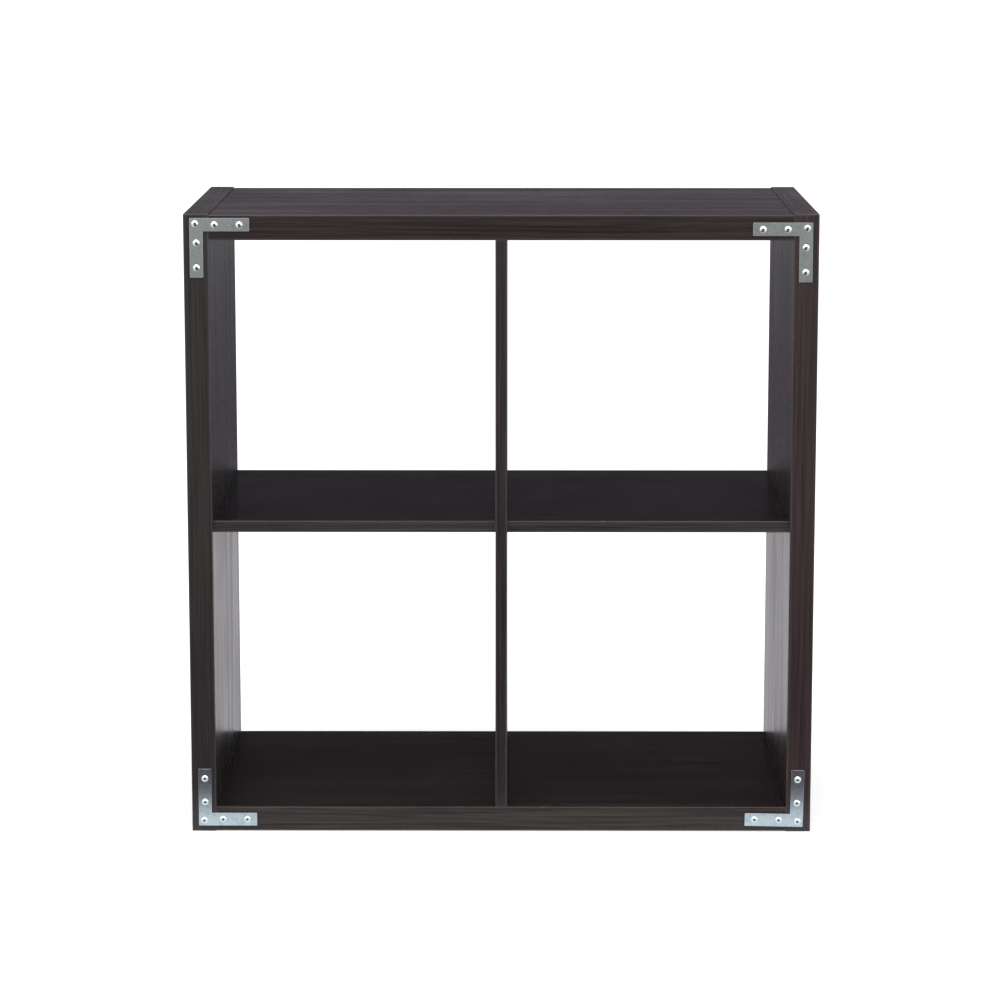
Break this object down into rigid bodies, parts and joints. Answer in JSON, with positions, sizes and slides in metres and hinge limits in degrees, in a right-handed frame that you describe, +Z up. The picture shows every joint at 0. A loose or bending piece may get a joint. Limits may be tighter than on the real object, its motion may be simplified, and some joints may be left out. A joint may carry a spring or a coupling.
{
  "type": "cube storage unit",
  "caption": "Free-standing cube storage unit in dark wood-grain laminate: thick outer panels, thin divider and half shelves, open back, flat steel corner brackets on the front.",
  "frame": {"origin": "on the floor, below the middle of the carcass in plan", "axes": "+Z up; the front, with the corner brackets, faces -Y; +X is to the right seen from the front"},
  "size_m": [0.7616, 0.3942, 0.76],
  "materials": {
    "espresso_laminate": "embossed dark wood-grain laminate, semi-gloss",
    "edge_band": "glued wood-grain edge strip, semi-gloss",
    "zinc_plate": "zinc-plated sheet steel, satin",
    "zinc_screw": "bright zinc-plated steel",
    "beech_dowel": "fluted beech, raw",
    "steel_connector": "zinc-plated steel",
    "cap_plastic": "moulded dark brown plastic, matt"
  },
  "bodies": {
    "root": {"side_panel_left": "espresso_laminate", "side_panel_right": "espresso_laminate", "top_panel": "espresso_laminate", "bottom_panel": "espresso_laminate", "centre_divider": "espresso_laminate", "shelf_left": "espresso_laminate", "shelf_right": "espresso_laminate", "band_side_left_front": "edge_band", "band_side_left_rear": "edge_band", "band_side_left_top": "edge_band", "band_side_right_front": "edge_band", "band_side_right_rear": "edge_band", "band_side_right_top": "edge_band", "band_top_front": "edge_band", "band_top_rear": "edge_band", "band_bottom_front": "edge_band", "band_bottom_rear": "edge_band", "band_divider_front": "edge_band", "band_divider_rear": "edge_band", "band_shelf_left_front": "edge_band", "band_shelf_left_rear": "edge_band", "band_shelf_right_front": "edge_band", "band_shelf_right_rear": "edge_band", "bracket_top_left": "zinc_plate", "bracket_top_right": "zinc_plate", "bracket_bottom_left": "zinc_plate", "bracket_bottom_right": "zinc_plate", "bracket_screws_top_left": "zinc_screw", "bracket_screws_top_right": "zinc_screw", "bracket_screws_bottom_left": "zinc_screw", "bracket_screws_bottom_right": "zinc_screw", "corner_dowels_top_left": "beech_dowel", "corner_dowels_top_right": "beech_dowel", "corner_dowels_bottom_left": "beech_dowel", "corner_dowels_bottom_right": "beech_dowel", "connecting_screws_top_left": "steel_connector", "connecting_screws_top_right": "steel_connector", "connecting_screws_bottom_left": "steel_connector", "connecting_screws_bottom_right": "steel_connector", "cover_caps_left": "cap_plastic", "cover_caps_right": "cap_plastic", "divider_dowels_top": "beech_dowel", "divider_dowels_bottom": "beech_dowel", "shelf_dowels_left": "beech_dowel", "shelf_dowels_centre": "beech_dowel", "shelf_dowels_right": "beech_dowel"}
  },
  "joints": []
}
